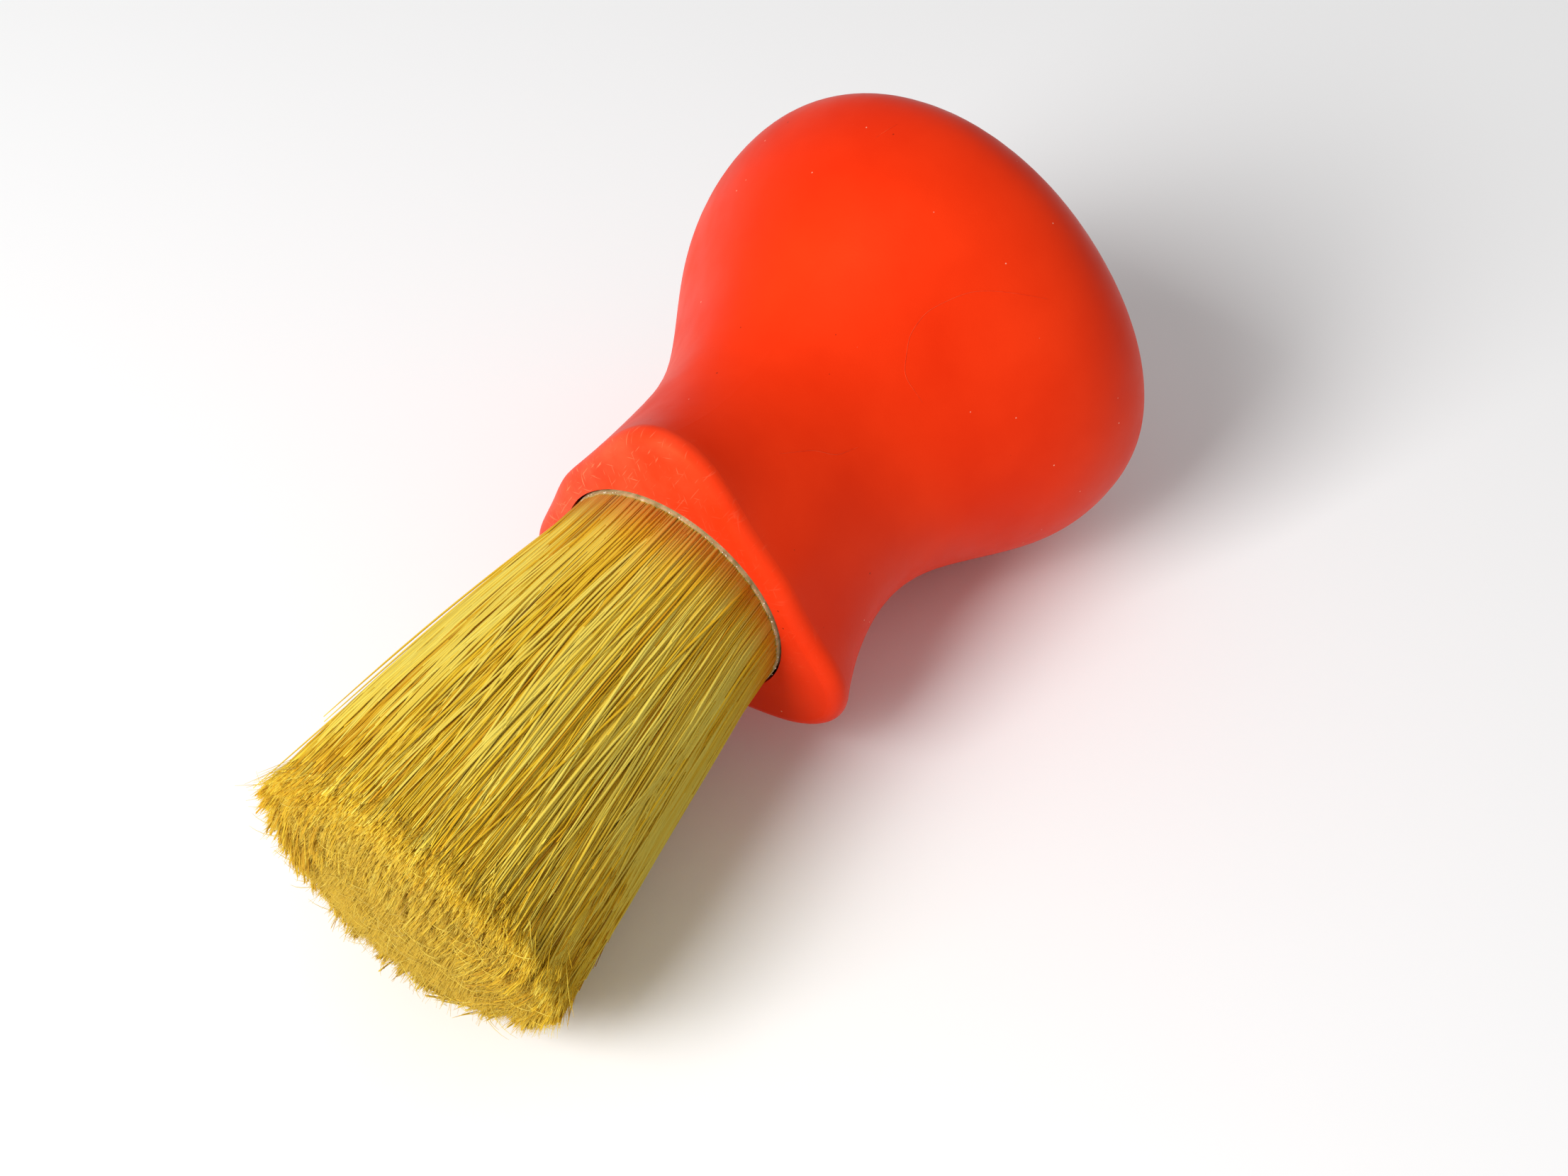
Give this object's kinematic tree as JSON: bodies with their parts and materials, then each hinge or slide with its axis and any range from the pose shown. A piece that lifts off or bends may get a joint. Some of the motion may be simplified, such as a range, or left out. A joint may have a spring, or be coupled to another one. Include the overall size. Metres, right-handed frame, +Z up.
{
  "type": "pastry brush",
  "caption": "Round natural-bristle pastry brush with a thin metal ferrule and a soft, three-cornered grip that swells into a palm bulb, lying on its side.",
  "frame": {"origin": "bottom centre of the lying brush's box: the surface it lies on is Z = 0, and the box is centred on X = 0 and Y = 0", "axes": "+Z up from the surface the brush lies on; +Y from the bristle tips to the back of the grip, with the brush's own axis rising 5.4 degrees towards +Y; +X to the right of that"},
  "size_m": [0.0624, 0.123, 0.0619],
  "materials": {
    "soft_grip": "satin orange-red soft-touch elastomer",
    "rigid_core": "moulded red polypropylene, unpolished",
    "ferrule_metal": "thin drawn sheet, dulled and slightly yellowed at the bare edge",
    "adhesive": "cured clear-brown epoxy",
    "resin": "cured amber epoxy",
    "hog_bristle": "natural blond hog bristle with flagged tips"
  },
  "bodies": {
    "root": {"grip_skin": "soft_grip", "core_body": "rigid_core", "core_cap": "rigid_core", "ferrule": "ferrule_metal", "ferrule_bond": "adhesive", "bristle_setting": "resin", "bristles": "hog_bristle"}
  },
  "joints": []
}
